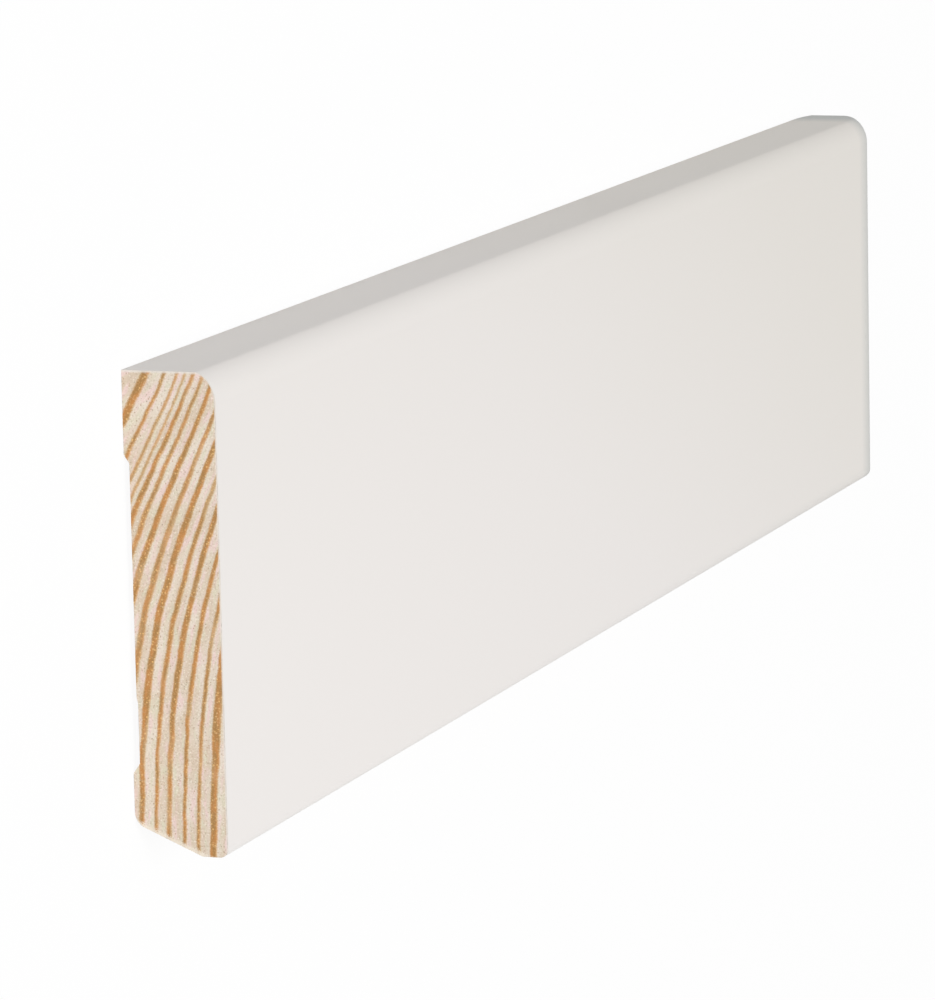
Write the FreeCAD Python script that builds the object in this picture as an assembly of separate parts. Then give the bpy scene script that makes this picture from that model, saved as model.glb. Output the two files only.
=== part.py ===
import FreeCAD, Part
import math
import os

# A length of softwood skirting board, painted on the room side, lying on its back.
# X runs along the board from the raw sawn end to the rounded painted end.
# Y runs up the board from the foot, which stands on the floor, to the top edge.
# Z runs through the board from the side against the wall to the painted front face.

# Overall size of the length, in millimetres
length = 340.0
height = 69.0
thickness = 14.0

# Quarter oval that softens the top edge of the front face
top_round_depth = 3.0
top_round_drop = 4.4

# Foot: a narrow level strip under the front face, then a bevel that rises to the back,
# so that only the front edge has to meet an uneven floor
foot_width = 3.85
foot_round = 1.2
bevel_rise = 4.3
heel_round = 2.4

# Two lands on the back touch the wall, with a shallow relief planed between them
lower_land_top = 11.5
upper_land_width = 12.0
lower_shoulder_rise = 1.4
upper_shoulder_rise = 1.2
relief_depth = 0.8

# The lower part of the relief is cut a little deeper by the second planer head
deep_relief_depth = 1.0
deep_relief_width = 8.7
deep_step_rise = 0.7

# The far end is rounded over before it is painted: a full nose at the front, a shallower one
# at the back, and a light easing of the two edges, each with a length along the board and a depth
front_ease_length = 9.0
front_ease = 8.0
back_ease_length = 10.0
back_ease = 2.5
edge_ease_length = 1.5
edge_ease = 0.6

LENGTHWISE = FreeCAD.Vector(1, 0, 0)
UPWARD = FreeCAD.Vector(0, 1, 0)
OUTWARD = FreeCAD.Vector(0, 0, 1)

near_x = -length / 2
far_x = length / 2
foot_y = -height / 2
top_y = height / 2


def section_point(up, out):
    """A point of the cross-section, from its height above the foot and its distance from the wall."""
    return FreeCAD.Vector(near_x, foot_y + up, out)


def quarter_oval(start, end, corner):
    """A quarter of an oval from start to end that is tangent to the two lines through their corner."""
    centre = start + end - corner
    reach_start = start - centre
    reach_end = end - centre
    if reach_start.Length < reach_end.Length:
        start, end = end, start
        reach_start, reach_end = reach_end, reach_start
    oval = Part.Ellipse(centre + reach_start, centre + reach_end, centre)
    return Part.ArcOfEllipse(oval, 0, math.pi / 2).toShape()


def chain(points):
    """Straight edges through the points, in order."""
    return [Part.makeLine(a, b) for a, b in zip(points, points[1:])]


def moulded_section():
    """The closed cross-section of the board as the moulder leaves it, before its two arrises are rounded."""
    front_top = section_point(height - top_round_drop, thickness)
    edge_front = section_point(height, thickness - top_round_depth)
    top_corner = section_point(height, thickness)
    relief_bottom = lower_land_top + lower_shoulder_rise
    deep_top = relief_bottom + deep_relief_width
    relief_top = height - upper_land_width - upper_shoulder_rise
    wall_side = [
        edge_front,
        section_point(height, 0),
        section_point(height - upper_land_width, 0),
        section_point(relief_top, relief_depth),
        section_point(deep_top + deep_step_rise, relief_depth),
        section_point(deep_top, deep_relief_depth),
        section_point(relief_bottom, deep_relief_depth),
        section_point(lower_land_top, 0),
        section_point(bevel_rise, 0),
        section_point(0, thickness - foot_width),
        section_point(0, thickness),
        front_top,
    ]
    edges = chain(wall_side) + [quarter_oval(front_top, edge_front, top_corner)]
    return Part.Wire(Part.__sortEdges__(edges))


def long_edge(solid, up, out):
    """The lengthwise edge of the solid that passes through a point of the cross-section."""
    middle = section_point(up, out) + LENGTHWISE * (length / 2)
    return min(solid.Edges, key=lambda edge: (edge.CenterOfMass - middle).Length)


def eased_outline(low, high, low_ease, high_ease, across):
    """A rectangle over the whole length, seen along one side, with its two far corners eased by ovals.

    Each easing is a pair: how far it runs along the board, and how deep it draws in at the end.
    """

    def at(along, side):
        return FreeCAD.Vector(along, 0, 0) + across * side

    low_length, low_depth = low_ease
    high_length, high_depth = high_ease
    low_line = at(far_x - low_length, low)
    low_face = at(far_x, low + low_depth)
    high_face = at(far_x, high - high_depth)
    high_line = at(far_x - high_length, high)
    edges = chain([high_line, at(near_x, high), at(near_x, low), low_line])
    edges.append(quarter_oval(low_line, low_face, at(far_x, low)))
    edges.append(Part.makeLine(low_face, high_face))
    edges.append(quarter_oval(high_face, high_line, at(far_x, high)))
    return Part.Face(Part.Wire(Part.__sortEdges__(edges)))


def make_board():
    """The whole board: the moulded section run to length, its foot and heel rounded, its far end nosed."""
    board = Part.Face(moulded_section()).extrude(LENGTHWISE * length)
    board = board.makeFillet(heel_round, [long_edge(board, bevel_rise, 0)])
    board = board.makeFillet(foot_round, [long_edge(board, 0, thickness)])

    back_easing = (back_ease_length, back_ease)
    front_easing = (front_ease_length, front_ease)
    plan = eased_outline(0, thickness, back_easing, front_easing, OUTWARD)
    plan.translate(UPWARD * foot_y)
    board = board.common(plan.extrude(UPWARD * height))

    edge_easing = (edge_ease_length, edge_ease)
    elevation = eased_outline(foot_y, top_y, edge_easing, edge_easing, UPWARD)
    return board.common(elevation.extrude(OUTWARD * thickness))


board = make_board().Solids[0]
os.makedirs("parts", exist_ok=True)
board.exportStep("parts/skirting_board.step")

box = board.BoundBox
print("box %.2f x %.2f x %.2f mm" % (box.XLength, box.YLength, box.ZLength))
print("volume %.1f cm3, valid %s" % (board.Volume / 1000, board.isValid()))
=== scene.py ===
# %% [markdown]
# # A length of skirting board
# The object is one piece of pine, run through a moulder, painted on the side that faces the
# room, and sawn to length. It lies on its back, as a loose length lies on a floor, and the
# camera looks down on it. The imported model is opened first, because it fixes the place and
# the size of everything that follows.

# %% Open the frame
import math

import bpy
from mathutils import Matrix, Vector


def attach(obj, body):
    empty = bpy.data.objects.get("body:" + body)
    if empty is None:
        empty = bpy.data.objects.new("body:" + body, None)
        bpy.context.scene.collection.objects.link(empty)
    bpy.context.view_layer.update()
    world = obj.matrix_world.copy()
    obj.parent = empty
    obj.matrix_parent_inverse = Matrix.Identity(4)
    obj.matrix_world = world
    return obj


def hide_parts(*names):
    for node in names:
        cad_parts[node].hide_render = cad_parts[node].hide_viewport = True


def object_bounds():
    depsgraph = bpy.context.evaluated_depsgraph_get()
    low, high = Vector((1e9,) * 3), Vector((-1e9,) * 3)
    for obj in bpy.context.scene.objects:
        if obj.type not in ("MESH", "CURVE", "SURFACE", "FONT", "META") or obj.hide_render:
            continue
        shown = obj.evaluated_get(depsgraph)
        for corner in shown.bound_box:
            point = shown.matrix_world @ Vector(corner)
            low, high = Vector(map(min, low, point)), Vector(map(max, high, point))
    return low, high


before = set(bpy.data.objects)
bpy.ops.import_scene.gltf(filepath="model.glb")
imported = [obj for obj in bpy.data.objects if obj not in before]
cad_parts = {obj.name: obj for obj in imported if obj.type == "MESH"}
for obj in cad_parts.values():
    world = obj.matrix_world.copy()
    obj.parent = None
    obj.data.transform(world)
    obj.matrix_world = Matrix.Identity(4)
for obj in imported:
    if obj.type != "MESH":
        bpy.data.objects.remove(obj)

cad_low, cad_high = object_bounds()
print("board box, mm:", [round(1000 * v, 1) for v in cad_high - cad_low])

# %% [markdown]
# ## The camera
# The photograph was taken with a long lens from beside the sawn end, so the board shrinks by
# only about a quarter towards its far end. Where the camera stands was worked out from the
# straight edges of the board. Blender can aim a camera with a constraint, but that leaves its
# roll to chance. Here the three axes of the camera are written down, and the upright one is
# squared against the direction of view.

# %% Set up the camera
camera_place = Vector((-0.91916, 0.15382, 0.32043))
view_direction = Vector((0.927564, -0.168175, -0.333680))
picture_upright = Vector((0.165461, 0.985531, -0.036760))


def aim(place, direction, upright):
    """The matrix of a camera or lamp that stands at place and looks along direction."""
    backward = -direction.normalized()
    sideways = upright.cross(backward).normalized()
    upward = backward.cross(sideways)
    turn = Matrix((sideways, upward, backward)).transposed().to_4x4()
    return Matrix.Translation(place) @ turn


lens = bpy.data.cameras.new("long lens")
lens.lens = 212.21
lens.clip_start = 0.01
camera = bpy.data.objects.new("camera", lens)
camera.matrix_world = aim(camera_place, view_direction, picture_upright)
bpy.context.collection.objects.link(camera)
bpy.context.scene.camera = camera
sawn_middle = Vector((cad_low[0], 0, cad_high[2] / 2))
print("camera to sawn end, m:", round((camera_place - sawn_middle).length, 3))

# %% [markdown]
# ## Arithmetic on nodes
# Wood and paint are described by formulas: the lean of the growth rings, the rounding of an
# edge, the fade of a colour. Written as nodes, one formula is dozens of small boxes. A small
# class wraps the output of a node, so that `1 - mask * 0.5` in Python adds the Math nodes
# that work it out. The same class serves materials and geometry trees.


# %% Wrap the outputs of nodes
class Bench:
    """One node tree, and the single way in which nodes are added to it."""

    def __init__(self, tree):
        self.tree = tree

    def node(self, kind, settings=None, sockets=None, output=0):
        """Add a node: first its settings, then the values or links of its sockets."""
        node = self.tree.nodes.new(kind)
        for name, value in (settings or {}).items():
            if name == "stops":
                self.set_stops(node.color_ramp, value)
            elif name == "interpolation":
                node.color_ramp.interpolation = value
            else:
                setattr(node, name, value)
        for name, value in (sockets or {}).items():
            if isinstance(value, Flow):
                self.tree.links.new(value.socket, node.inputs[name])
            else:
                node.inputs[name].default_value = value
        return Flow(self, node, output)

    @staticmethod
    def set_stops(ramp, stops):
        """Give a colour ramp its stops, in order, as pairs of position and colour."""
        while len(ramp.elements) < len(stops):
            ramp.elements.new(1.0)
        for element, (position, colour) in zip(ramp.elements, stops):
            element.position = position
            element.color = (*colour, 1.0)


class Flow:
    """What flows out of a node: a number, a colour or a vector."""

    def __init__(self, bench, node, output=0):
        self.bench = bench
        self.node = node
        self.socket = node.outputs[output] if len(node.outputs) else None

    def out(self, name):
        """Another output of the same node."""
        return Flow(self.bench, self.node, name)

    def math(self, operation, *values):
        """A Math node with these values in its sockets."""
        return self.bench.node("ShaderNodeMath", {"operation": operation}, dict(enumerate(values)))

    def __add__(self, other):
        return self.math("ADD", self, other)

    def __sub__(self, other):
        return self.math("SUBTRACT", self, other)

    def __mul__(self, other):
        return self.math("MULTIPLY", self, other)

    def __truediv__(self, other):
        return self.math("DIVIDE", self, other)

    def __rsub__(self, other):
        return self.math("SUBTRACT", other, self)

    __radd__ = __add__
    __rmul__ = __mul__

    def sqrt(self):
        return self.math("SQRT", self)

    def power(self, exponent):
        return self.math("POWER", self, exponent)

    def cosine(self):
        return self.math("COSINE", self)

    def sine(self):
        return self.math("SINE", self)

    def at_least(self, other):
        return self.math("MAXIMUM", self, other)

    def at_most(self, other):
        return self.math("MINIMUM", self, other)

    def below(self, other):
        """One where the value is under the other, and nought elsewhere."""
        return self.math("LESS_THAN", self, other)

    def share(self):
        """The value held between nought and one."""
        return self.at_least(0.0).at_most(1.0)

    def soft(self):
        """A share with its corners rounded, for a fade without a visible start or end."""
        held = self.share()
        return held * held * (3.0 - 2.0 * held)


# %% [markdown]
# ## Sizes
# A moulding is described by its section, so the sizes of the section are written down once,
# in millimetres, and both the wood pattern and the mesh work from them. The mesh takes them
# as named inputs, which makes the board easy to change later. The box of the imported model
# shows whether they agree with it.

# %% Set the sizes of the board
sizes = {
    "Length": 340.0, "Height": 69.0, "Thickness": 14.0,
    "Top Round Depth": 3.0, "Top Round Drop": 4.4,
    "Foot Width": 3.85, "Foot Round": 1.2, "Bevel Rise": 4.3, "Heel Round": 2.4,
    "Lower Land Top": 11.5, "Lower Shoulder": 1.4, "Deep Relief": 1.0, "Deep Width": 8.7,
    "Deep Step": 0.7, "Relief": 0.8, "Upper Shoulder": 1.2, "Upper Land": 12.0,
    "Front Ease Length": 9.0, "Front Ease": 8.0, "Back Ease Length": 10.0, "Back Ease": 2.5,
    "Edge Ease Length": 1.5, "Edge Ease": 0.6,
}
lattice = {"Stations": 56, "Rows": 300, "Columns": 60}
board_length, board_height, board_thickness = sizes["Length"], sizes["Height"], sizes["Thickness"]
for name, packed in zip(("Length", "Height", "Thickness"), cad_high - cad_low):
    print(name, "less the same side of the model's box, mm:", round(sizes[name] - 1000 * packed, 2))

# %% [markdown]
# ## Growth rings
# The saw has opened the end grain, and its rings are what the eye goes to first. The board
# was cut from the side of the log: at the foot the rings stand upright, and towards the top
# edge they lean over to the room side. One formula gives each point of the wood its depth in
# the tree, as the place, in millimetres, where its ring would cross the foot of the board.
# The formula is solid, so the same rings run on through the raw back of the board.

# %% Lean the rings
# How the depth changes, in mm, on the climb from the foot to the top edge: for the rings as a
# whole, and by their place between the wall and the front, straight and bowed
lean_terms = (-2.88, 0.70, -19.72, -11.81, 16.33)
twist_terms = (0.59, -1.12, -1.52)
cup_terms = (1.69, 1.55)
drift_reach = 70.0  # the rings keep their places at the sawn end and wander off along the board


def grain_noise(along, up, out, scales, detail, seed=0.0):
    """Noise from nought to one, with its own scale, per mm, in each direction of the board."""
    bench = along.bench
    place = bench.node("ShaderNodeCombineXYZ", None, {
        0: along * scales[0] + seed, 1: up * scales[1], 2: out * scales[2]})
    return bench.node("ShaderNodeTexNoise", None, {"Vector": place, "Scale": 1.0, "Detail": detail})


def curve(share, terms):
    """A smooth curve through nought: terms[0] times the share, terms[1] times its square, and so on."""
    total = terms[-1]
    for term in reversed(terms[:-1]):
        total = share * total + term
    return share * total


def ring_depth(along, up, out):
    """The depth in the tree, in mm, of a point given in mm from the sawn end, the foot and the wall."""
    rise = up / board_height
    through = out / board_thickness - 0.5
    lean = curve(rise, lean_terms)
    twist = through * curve(rise, twist_terms)
    cup = through * through * curve(rise, cup_terms)
    drift = grain_noise(along, up, out, (0.009, 0.03, 0.03), 1.0)
    bend = grain_noise(along, up, out, (0.02, 0.19, 0.19), 1.0, 7.0)
    wobble = grain_noise(along, up, out, (0.05, 0.70, 0.70), 1.0, 2.0)
    away = (along / drift_reach).share()
    waves = (drift - 0.5) * away * 9.0 + (bend - 0.5) * 0.5 + (wobble - 0.5) * 0.22
    return out + lean + twist + cup + waves


print("lean to the room side at the top edge, mm:", round(-sum(lean_terms), 1))

# %% [markdown]
# ## Years
# A table gives each year's late wood: where its dark band lies, how wide and how dark it is. A
# wave texture would give even stripes, which pine never has. A colour ramp without blending
# holds the table, and looks up the year of any depth.

# %% Describe the years
# Each year's dark band: where its middle crosses the foot, its width, and how dark it is
years = [
    (-19.5, 0.8, 0.8), (-17.6, 0.7, 0.8), (-15.9, 0.6, 0.7),
    (-12.95, 0.95, 1.00), (-10.70, 0.50, 0.92), (-9.00, 0.44, 0.80), (-7.90, 0.38, 0.72),
    (-6.78, 0.66, 0.95), (-5.29, 0.60, 0.86), (-3.47, 0.76, 0.97), (-1.30, 0.76, 0.86),
    (0.79, 0.86, 1.00), (3.04, 0.62, 0.92), (4.98, 0.76, 1.00), (7.35, 0.60, 1.00),
    (9.53, 0.52, 0.94), (11.80, 1.18, 1.00),
    (15.0, 0.8, 0.9), (17.1, 0.7, 0.8), (19.0, 0.9, 0.9),
]
first_depth, last_depth = -21.0, 20.0
depth_span = last_depth - first_depth
outer_softness, inner_softness = 0.46, 0.54  # mm over which the two edges of a band fade


def year_stops():
    """The table of years as stops: each holds from halfway after the year before."""
    stops = []
    start = first_depth
    for index, (middle, width, dark) in enumerate(years):
        held_year = ((middle - first_depth) / depth_span, width / 2, dark)
        stops.append(((start - first_depth) / depth_span, held_year))
        if index + 1 < len(years):
            start = (middle + years[index + 1][0]) / 2
    return stops


def band_swell(up):
    """How wide the dark bands are at a height, against the table: widest halfway up the board."""
    rise = up / board_height
    widening = ((rise - 0.15) / 0.22).soft()
    narrowing = ((rise - 0.65) / 0.33).soft()
    return widening * 0.27 - narrowing * 0.26 + 0.87


def latewood(depth, up):
    """How dark the wood is at a depth: nought in the spring wood, up to one in the late wood."""
    bench = depth.bench
    share = (depth - first_depth) / depth_span
    steps = {"stops": year_stops(), "interpolation": "CONSTANT"}
    table = bench.node("ShaderNodeValToRGB", steps, {0: share})
    year = bench.node("ShaderNodeSeparateXYZ", None, {0: table})
    middle = year * depth_span + first_depth
    half = year.out(1) * band_swell(up)
    inward = depth - middle
    outer_edge = ((inward + half) / outer_softness + 0.5).soft()
    inner_edge = ((half - inward) / inner_softness + 0.5).soft()
    return outer_edge * inner_edge * year.out(2)


print("years in the table:", len(years))

# %% [markdown]
# ## Mixing a material
# A finish on this board is a ground colour with others laid over it, each through a mask that
# says where it shows. A picture of wood could be wrapped round the board, but it would
# stretch at the edges and wouldn't run on from the end to the back. Formulas on the board's
# own millimetres do. Small helpers keep each layer to about a line.


# %% Lay colours and close a material
def colour(red, green, blue):
    """A screen colour from 0 to 255 as the linear colour that nodes work in."""
    return tuple(((value / 255 + 0.055) / 1.055) ** 2.4 for value in (red, green, blue))


def paint_over(below, above, mask):
    """One colour laid over another where the mask is one."""
    bench = mask.bench
    sockets = {0: mask}
    # A Mix node has sockets for every kind of value: 6 and 7 take colours, and output 2 gives one
    for index, value in ((6, below), (7, above)):
        sockets[index] = value if isinstance(value, Flow) else (*value, 1.0)
    return bench.node("ShaderNodeMix", {"data_type": "RGBA"}, sockets, output=2)


def board_place(bench):
    """Place on the board in mm: from the sawn end, up from the foot, and out from the wall."""
    here = bench.node("ShaderNodeTexCoord", output="Object")
    parts = bench.node("ShaderNodeSeparateXYZ", None, {0: here})
    return parts * 1000 + board_length / 2, parts.out(1) * 1000 + board_height / 2, parts.out(2) * 1000


def new_material(name):
    """A material with an empty tree, and the bench that adds nodes to it."""
    material = bpy.data.materials.new(name)
    material.use_nodes = True
    material.node_tree.nodes.clear()
    return material, Bench(material.node_tree)


def finish_material(bench, base, roughness, height, strength, specular):
    """Close a material: colour, roughness and a height in mm that becomes bump."""
    bump = bench.node("ShaderNodeBump", None, {
        "Height": height, "Distance": 0.001, "Strength": strength})
    shader = bench.node("ShaderNodeBsdfPrincipled", None, {
        "Base Color": base, "Roughness": roughness, "Normal": bump, "Specular IOR Level": specular})
    bench.node("ShaderNodeOutputMaterial", None, {"Surface": shader})


print("middle grey of the screen, as nodes see it:", round(colour(128, 128, 128)[0], 3))

# %% [markdown]
# ## Spring wood
# The pale wood between the dark bands grew in spring. It drifts from cream to a little pink
# or green, in patches that follow the rings, and it is peppered with fine points, which are
# cut cells. The points lie one to a cell of a Voronoi pattern that is stretched along the
# board, so they are dots on the end and short streaks on the back, as real ones are.


# %% Mix the spring wood
def dots(along, up, out, per_mm, stretch, share, radius):
    """Points in a share of the cells: how much of a point is here, and a random number for it."""
    bench = along.bench
    place = bench.node("ShaderNodeCombineXYZ", None, {
        0: along * stretch, 1: up * per_mm, 2: out * per_mm})
    cell = bench.node("ShaderNodeTexVoronoi", None, {"Vector": place, "Scale": 1.0})
    chance = bench.node("ShaderNodeSeparateXYZ", None, {0: cell.out("Color")})
    return ((radius - cell) * 6.0).share() * chance.below(share), chance.out(1)


pine, bench = new_material("bare pine")
along, up, out = board_place(bench)
depth = ring_depth(along, up, out)
fine = grain_noise(along, up, out, (0.10, 3.6, 3.6), 3.0, 3.0)
patches = grain_noise(along, up, depth, (0.02, 0.10, 0.35), 2.0, 9.0)
tint = grain_noise(along, up, depth, (0.02, 0.30, 1.10), 2.0, 14.0)
early = paint_over(colour(220, 202, 181), colour(233, 221, 206), (patches * 5.0 - 2.1).share())
early = paint_over(early, colour(236, 211, 205), (tint * 8.0 - 4.2).share() * 0.9)
early = paint_over(early, colour(222, 216, 192), (3.6 - tint * 8.0).share() * 0.8)
early = paint_over(early, colour(246, 235, 221), (fine * 7.0 - 3.9).share())
early = paint_over(early, colour(200, 182, 158), (3.0 - fine * 7.0).share() * 0.75)
pit, pit_tone = dots(along, up, out, 3.0, 0.06, 0.60, 0.40)
pit_colour = paint_over(colour(196, 160, 128), colour(182, 168, 144), pit_tone)
strings = grain_noise(along, up, depth, (0.02, 0.35, 1.60), 1.0, 17.0)
speckled = (strings * 8.0 - 4.0).share() * 0.6 + 0.25
early = paint_over(early, pit_colour, pit * speckled)
print("pine up to the spring wood:", len(bench.tree.nodes), "nodes")

# %% [markdown]
# ## Late wood
# The dark bands grew in summer. Their edges are ragged, because cells differ in size, and a
# band pales here and there along its ring. Amber points in them are resin ducts. A honey tone
# goes on first and spreads a little wider than the band, so that it doesn't look printed.

# %% Lay the late wood over it
ragged = grain_noise(along, up, out, (0.08, 5.0, 5.0), 1.0, 11.0) - 0.5
faded = grain_noise(along, up, depth, (0.02, 0.11, 0.55), 1.0, 23.0)
late = latewood(depth + ragged * 0.36, up) * (1.0 - (faded * 7.0 - 4.0).share() * 0.30)
late_tone = paint_over(colour(172, 130, 78), colour(196, 138, 80), (tint * 6.0 - 2.5).share())
late_tone = paint_over(late_tone, colour(214, 168, 114), (fine * 4.5 - 2.3).share() * 0.85)
late_tone = paint_over(late_tone, colour(160, 114, 64), (1.8 - fine * 5.0).share() * 0.7)
canal, canal_tone = dots(along, up, out, 2.5, 0.05, 0.34, 0.40)
canal_colour = paint_over(colour(242, 198, 128), colour(216, 178, 128), canal_tone)
late_tone = paint_over(late_tone, canal_colour, canal * 0.8)
honey = paint_over(early, colour(222, 190, 142), (late * 1.8).share() * 0.7)
wood = paint_over(honey, late_tone, (late * 1.3 - 0.2).share())

# Rays run across the rings, so they tilt more as the rings lean over
ray_place = up + (out - board_thickness / 2) * (up / board_height) * 0.7
rays = grain_noise(along, ray_place, depth, (0.15, 5.0, 0.35), 1.0, 6.0)
wood = paint_over(wood, colour(205, 196, 172), (rays * 5.0 - 3.2).share() * 0.45)
print("pine with the late wood:", len(bench.tree.nodes), "nodes")

# %% [markdown]
# ## Marks on the sawn end
# Three things show on the sawn end alone. Fibres broke out along the arris of the bevel,
# which leaves it fuzzy and pale. The paint was cut through with the wood, and its film is a
# thin pale rim along the top edge and the front. And the saw left faint lines across the
# face, which are so low that they only go into the bump.

# %% Finish the sawn end
face_reach = 0.3  # mm along the board that count as its sawn face
fuzz_width, film_thickness = 0.78, 0.28
on_saw_cut = along.below(face_reach)
bevel_run, bevel_rise = board_thickness - sizes["Foot Width"], sizes["Bevel Rise"]
bevel_slant = math.hypot(bevel_run, bevel_rise)
from_bevel = (up * bevel_run + out * bevel_rise - bevel_run * bevel_rise) / bevel_slant
fuzz = ((fuzz_width - from_bevel + ragged * 1.2) / 0.5).soft() * on_saw_cut
wood = paint_over(wood, colour(242, 231, 214), fuzz * 0.85)

top_depth, top_drop = sizes["Top Round Depth"], sizes["Top Round Drop"]
rim_up = ((up - (board_height - top_drop)) / top_drop).at_least(0)
rim_out = ((out - (board_thickness - top_depth)) / top_depth).at_least(0)
corner = (rim_up * rim_up + rim_out * rim_out).sqrt()
film = ((corner - 0.90) / 0.09).soft()
film_on_top = ((up - (board_height - film_thickness)) / 0.22).soft()
film_on_front = ((out - (board_thickness - film_thickness)) / 0.24).soft()
film = film.at_least(film_on_top).at_least(film_on_front)
film = (film + ragged * 1.2 * film * (1.0 - film)).share() * on_saw_cut
wood = paint_over(wood, colour(236, 231, 224), film * 0.85)

saw_lines = grain_noise(along, up + out * 0.35, out, (0.0, 2.6, 0.05), 3.0, 5.0)
height = late * 0.02 + fine * 0.03 - pit * 0.03 + (saw_lines - 0.5) * on_saw_cut * 0.03
finish_material(bench, wood, 0.66 - late * 0.10, height, strength=0.8, specular=0.25)
print("bare pine:", len(bench.tree.nodes), "nodes")

# %% [markdown]
# ## White paint
# The front, the top edge, the foot and the far end carry a sprayed paint with a low sheen. It
# is not quite white but a little cream. Its colour also holds painted shade: a darker, greyer
# cream towards the far end and the top edge, and grey over the nose of the far end and along
# the foot towards it. A painted highlight lightens the foot by the sawn end. The wood under
# the film shows as long shallow ridges, and the spray itself leaves a fine pimple.
# Both are too low to draw a line in plain light, but they break up the sheen, which is what
# tells paint from plastic.

# %% Mix the paint
paint_white = colour(240, 236, 233)
shaded_paint_cream = colour(237, 233, 227)
foot_shading_reach = 250.0
nose_shade_reach, nose_shade_fade = 13.0, 7.0
foot_edge, cut_rim_width = sizes["Foot Round"], 0.45

paint, bench = new_material("satin paint")
along, up, out = board_place(bench)
cloud = grain_noise(along, up, out, (0.012, 0.05, 0.05), 2.0, 4.0)
# Painted shade: the paint turns a darker, greyer cream towards the far end and the top edge
painted_far_top_shade = ((along + up * 1.65 - 200.0) / 175.0 + (cloud - 0.5) * 0.3).share()
white = paint_over(paint_white, shaded_paint_cream, painted_far_top_shade)
climb = up / board_height
# Painted shade: the paint greys further towards the top edge
white = paint_over(white, colour(226, 222, 216), climb * climb * 0.28)
# Painted shade: the nose of the far end, which turns away from the lamp, is greyed in the paint colour
painted_nose_shade = ((along - (board_length - nose_shade_reach)) / nose_shade_fade).share()
white = paint_over(white, colour(198, 201, 199), painted_nose_shade * 0.85)
# Painted shade: a grey line along the foot rounding, growing towards the far end
painted_foot_shade = (1.0 - (up / (2 * foot_edge)).share()) * (along / foot_shading_reach - 0.4).share()
white = paint_over(white, colour(199, 202, 198), painted_foot_shade * 0.28)
# Painted highlight: the foot rounding is lightened by the sawn end and fades along the board
painted_foot_light = (1.0 - (up / foot_edge).share()) * (1.3 - along / foot_shading_reach).share()
white = paint_over(white, colour(252, 250, 246), painted_foot_light * 0.75)
cut_rim = 1.0 - (along / cut_rim_width).soft()
white = paint_over(white, colour(233, 224, 210), cut_rim * 0.8)
pimple = grain_noise(along, up, out, (0.9, 1.1, 1.1), 2.0, 1.0)
ridges = latewood(ring_depth(along, up, out), up)
height = pimple * 0.012 + ridges * 0.006
finish_material(bench, white, 0.62 + (pimple - 0.5) * 0.1, height, strength=0.6, specular=0.08)
print("satin paint:", len(bench.tree.nodes), "nodes")

# %% [markdown]
# ## The board
# The moulder pulls the whole length through one set of knives, so the board is a section and
# a run, and only the far end is rounded over afterwards. The mesh starts as a box divided
# into a lattice, and each lattice point is moved to its place. A curve with a profile would
# also give the run, but its ends would be single flat faces, and the sawn end needs a fine
# lattice of its own, because its soft rings sit lower than its hard ones. The finishes are
# set while the mesh is still a box, whose sides tell painted faces from bare ones.

# %% Start the moulding tree
moulding = bpy.data.node_groups.new("moulded board", "GeometryNodeTree")
bench = Bench(moulding)


def add_input(name, kind):
    """A named input of the tree, which the modifier will offer."""
    return moulding.interface.new_socket(name, in_out="INPUT", socket_type="NodeSocket" + kind)


for name, value in sizes.items():
    add_input(name, "Float").default_value = value
for name, value in lattice.items():
    add_input(name, "Int").default_value = value
for name in ("Paint", "Bare Wood"):
    add_input(name, "Material")
moulding.interface.new_socket("Board", in_out="OUTPUT", socket_type="NodeSocketGeometry")
sockets = {item.name: item.identifier for item in moulding.interface.items_tree if item.in_out == "INPUT"}

given = bench.node("NodeGroupInput")
size = {name: given.out(name) for name in sizes}
box = bench.node("GeometryNodeMeshCube", None, {
    "Size": (1.0, 1.0, 1.0), "Vertices X": given.out("Stations"),
    "Vertices Y": given.out("Rows"), "Vertices Z": given.out("Columns")})
# The sawn end faces towards -X and the back faces down, and both are bare
facing = bench.node("ShaderNodeSeparateXYZ", None, {0: bench.node("GeometryNodeInputNormal")})
bare = facing.below(-0.5).at_least(facing.out(2).below(-0.5))
painted = bench.node("GeometryNodeSetMaterial", None, {"Geometry": box, "Material": given.out("Paint")})
box = bench.node("GeometryNodeSetMaterial", None, {
    "Geometry": painted, "Selection": bare, "Material": given.out("Bare Wood")})
print("inputs of the tree:", len(sockets))

# %% [markdown]
# ## The front of the section
# Each direction of the lattice runs from nought to one: stations along the board, rows up
# the section, and columns from the back to the front. Fixed shares of the rows are kept for
# the two roundings of the front, and the rest is spread over the straight part. Within a
# rounding the rows lie at equal turns, which keeps it smooth.

# %% Turn the front from the foot to the top edge
lattice_place = bench.node("ShaderNodeSeparateXYZ", None, {0: bench.node("GeometryNodeInputPosition")})
station, row, column = (lattice_place.out(axis) + 0.5 for axis in range(3))
quarter = math.pi / 2

foot_share, top_share = 0.03, 0.07
top_crispness = 1.3  # one is a true oval; above it, the rounding starts more sharply at the top face
foot_turn = (row / foot_share).share() * quarter
top_turn = ((row - (1 - top_share)) / top_share).share() * quarter
straight = ((row - foot_share) / (1 - foot_share - top_share)).share()
up = size["Foot Round"] * (1.0 - foot_turn.cosine()) \
    + straight * (size["Height"] - size["Top Round Drop"] - size["Foot Round"]) \
    + size["Top Round Drop"] * top_turn.sine()
front = size["Thickness"] - size["Foot Round"] * (1.0 - foot_turn.sine()) \
    - size["Top Round Depth"] * (1.0 - top_turn.cosine().at_least(0).power(top_crispness))
print("rows in the top rounding:", round(top_share * lattice["Rows"]))

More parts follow.
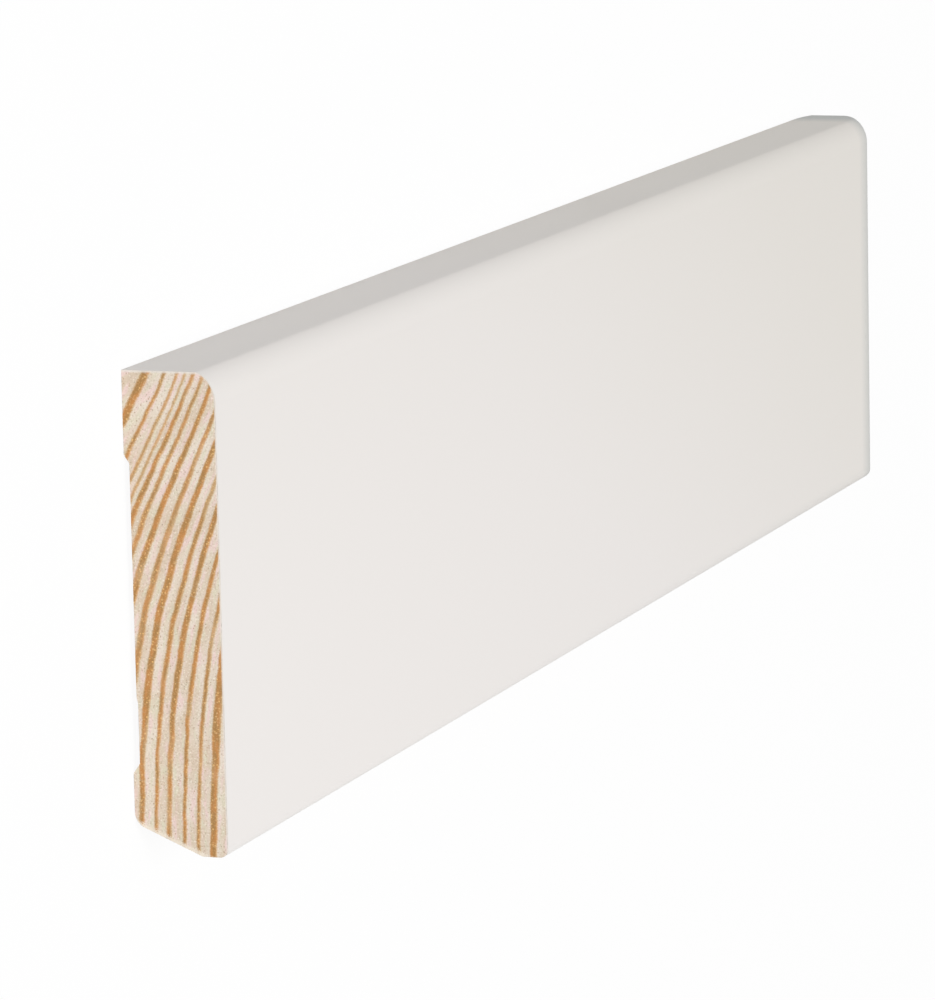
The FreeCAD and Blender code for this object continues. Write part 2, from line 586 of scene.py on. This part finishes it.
# %% [markdown]
# ## The back of the section
# The foot is undercut by a bevel, so that only a strip under the front stands on the floor.
# The back is relieved between two lands, which alone lie on the wall. The bevel and the heel
# over it are worked out from the height of each row, and so are the steps of the relief. The
# greater of the two is how far the back has been cut in.

# %% Step the back from the heel to the upper land
run = size["Thickness"] - size["Foot Width"]
rise = size["Bevel Rise"]
slant = (run * run + rise * rise).sqrt()
# The heel's round touches the bevel and the back at the same distance from their corner
touch = size["Heel Round"] * (slant - rise) / run
heel_up = rise + touch
below_heel = up.at_most(heel_up) - heel_up
heel_reach = size["Heel Round"] * size["Heel Round"] - below_heel * below_heel
heel_arc = size["Heel Round"] - heel_reach.at_least(0).sqrt()
on_bevel = up.below(rise - touch * rise / slant)
heel = on_bevel * run * (1.0 - up / rise) + (1.0 - on_bevel) * heel_arc


def ramp(start, width):
    """Nought below the start, then up to one over the width."""
    return ((up - start) / width).share()


deep_top = size["Lower Land Top"] + size["Lower Shoulder"] + size["Deep Width"]
relief_top = size["Height"] - size["Upper Land"] - size["Upper Shoulder"]
relief = ramp(size["Lower Land Top"], size["Lower Shoulder"]) * size["Deep Relief"] \
    - ramp(deep_top, size["Deep Step"]) * (size["Deep Relief"] - size["Relief"]) \
    - ramp(relief_top, size["Upper Shoulder"]) * size["Relief"]
back = heel.at_least(relief)
print("nodes that make the section:", len(moulding.nodes))

# %% [markdown]
# ## The run to the far end
# Stations crowd together by the sawn end and in the rounding of the far end, and lie far
# apart on the straight run between. At the far end the front draws in on a quarter oval, the
# back on a shallower one, and the two edges a little.

# %% Run the section along the board
saw_share, ease_share = 0.14, 0.24  # shares of the stations for the sawn end and for the rounding
saw_zone = 4.0  # mm of the board that the first of them take
near = (station / saw_share).share()
middle = ((station - saw_share) / (1 - saw_share - ease_share)).share()
ease_turn = ((station - (1 - ease_share)) / ease_share).share() * quarter
along = near * near * saw_zone + middle * (size["Length"] - size["Back Ease Length"] - saw_zone) \
    + size["Back Ease Length"] * ease_turn.sine()


def ease(length, depth):
    """How far a side has drawn in at a station, on a quarter oval that ends at the far end."""
    turn = ((along - size["Length"]) / length + 1.0).share()
    return depth * (1.0 - (1.0 - turn * turn).sqrt())


squeeze = 1.0 - ease(size["Front Ease Length"], size["Front Ease"]) / size["Thickness"]
front = front * squeeze
back = (back * squeeze).at_least(ease(size["Back Ease Length"], size["Back Ease"]))
centre_up = up - size["Height"] * 0.5
pinch = 1.0 - 2.0 * ease(size["Edge Ease Length"], size["Edge Ease"]) / size["Height"]
out = back + (front - back) * column
print("stations in the far rounding:", round(ease_share * lattice["Stations"]))

# %% [markdown]
# ## The sawn face
# A saw tears the soft spring wood a little deeper than the hard late wood. The rings that
# colour the wood also set how far each point of the sawn face lies back, so light and colour
# agree.

# %% Sink the soft rings and close the tree
on_face = station.below(0.001)
late = latewood(ring_depth(along, up, out), up)
tear = grain_noise(along, up, out, (0.0, 1.8, 2.2), 3.0, 2.0)
sunk = on_face * (0.02 + (1.0 - late) * 0.05 + (tear - 0.4).at_least(0) * 0.12)
place = bench.node("ShaderNodeCombineXYZ", None, {
    0: (along + sunk - size["Length"] * 0.5) * 0.001,
    1: centre_up * pinch * 0.001,
    2: out * 0.001})
moved = bench.node("GeometryNodeSetPosition", None, {"Geometry": box, "Position": place})
bench.node("NodeGroupOutput", None, {0: bench.node("GeometryNodeRealizeInstances", None, {0: moved})})
print("moulding tree:", len(moulding.nodes), "nodes")

# %% [markdown]
# ## From tree to board
# The tree hangs on an empty object as a modifier. Its inputs are set by the identifiers of
# their sockets, because a name may be used twice. What it gives is then copied off as a plain
# mesh and the modifier goes, so that nothing is left to work out later. Edges over a set
# angle stay sharp, above all those round the saw cut, and the roundings are shaded smooth.

# %% Turn the tree into a plain mesh
sharp_angle = 28  # degrees
blank = bpy.data.objects.new("blank", bpy.data.meshes.new("blank"))
bpy.context.collection.objects.link(blank)
modifier = blank.modifiers.new("moulding", "NODES")
modifier.node_group = moulding
for name, value in (*sizes.items(), *lattice.items()):
    modifier[sockets[name]] = value
modifier[sockets["Paint"]] = paint
modifier[sockets["Bare Wood"]] = pine
bpy.context.view_layer.update()
ready = blank.evaluated_get(bpy.context.evaluated_depsgraph_get())
mesh = bpy.data.meshes.new_from_object(ready)
blank.modifiers.clear()
bpy.data.objects.remove(blank)

mesh.name = "board"
mesh.materials.pop(index=0)  # the tree starts its list of finishes with an empty place
mesh.polygons.foreach_set("use_smooth", [True] * len(mesh.polygons))
mesh.set_sharp_from_angle(angle=math.radians(sharp_angle))
board = bpy.data.objects.new("board", mesh)
bpy.context.collection.objects.link(board)
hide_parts("skirting_board")
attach(board, "root")
bare_faces = sum(face.material_index == 1 for face in mesh.polygons)
print("board:", len(mesh.polygons), "faces, of which", bare_faces, "in", mesh.materials[1].name)

# %% [markdown]
# ## Floor
# The photograph has a pure white ground. A white floor nearly does that by its own colour, and
# what the camera sees of it is almost wholly a glow, so it stays white without more light on
# the board, and the board's shadow on it shows only faintly.

# %% Lay the floor
pure_white = (1.0, 1.0, 1.0, 1.0)
glow_share = 0.94


def seen_straight(bench):
    """One for what the camera sees, directly or in a gloss or through a glass, and nought for light."""
    ray = bench.node("ShaderNodeLightPath")
    return ray.at_least(ray.out("Is Glossy Ray")).at_least(ray.out("Is Transmission Ray"))


floor_material, bench = new_material("white floor")
matt = bench.node("ShaderNodeBsdfDiffuse", None, {"Color": (0.92, 0.92, 0.92, 1.0)})
glow = bench.node("ShaderNodeEmission", None, {"Color": pure_white, "Strength": 1.0})
shown = bench.node("ShaderNodeMixShader", None, {0: seen_straight(bench) * glow_share, 1: matt, 2: glow})
bench.node("ShaderNodeOutputMaterial", None, {"Surface": shown})

reach = 4.0
under = -0.0001  # a tenth of a millimetre under the board, so that the two faces don't fight
corners = [(-reach, -reach, under), (reach, -reach, under), (reach, reach, under), (-reach, reach, under)]
floor_mesh = bpy.data.meshes.new("floor")
floor_mesh.from_pydata(corners, [], [(0, 1, 2, 3)])
floor_mesh.materials.append(floor_material)
floor = bpy.data.objects.new("floor", floor_mesh)
bpy.context.collection.objects.link(floor)
print("floor, m across:", 2 * reach)

# %% [markdown]
# ## Light
# The lamp above and before the sawn end is large and soft, as in a studio, and the pale
# surroundings fill the rest. A lamp alone would leave the top edge dark, because that hardly
# faces it. How the surroundings look and how much light they give are set apart: white, but
# dim.

# %% Hang the lamp and light the surroundings
softbox = bpy.data.lights.new("softbox", "AREA")
softbox.shape = "RECTANGLE"
softbox.size = 1.2
softbox.size_y = 1.2
softbox.energy = 58.0
lamp = bpy.data.objects.new("softbox", softbox)
lamp_place = Vector((-1.45, 0.20, 2.40))
lamp.matrix_world = aim(lamp_place, -lamp_place, Vector((0, 0, 1)))
bpy.context.collection.objects.link(lamp)

world = bpy.data.worlds.new("pale room")
world.use_nodes = True
world.node_tree.nodes.clear()
bench = Bench(world.node_tree)
room = bench.node("ShaderNodeBackground", None, {"Color": pure_white, "Strength": 0.33})
backdrop = bench.node("ShaderNodeBackground", None, {"Color": pure_white, "Strength": 1.0})
shown = bench.node("ShaderNodeMixShader", None, {0: seen_straight(bench), 1: room, 2: backdrop})
bench.node("ShaderNodeOutputWorld", None, {"Surface": shown})
bpy.context.scene.world = world
bpy.context.scene.view_settings.view_transform = "Standard"
print("lamp to board, m:", round(lamp_place.length, 2))
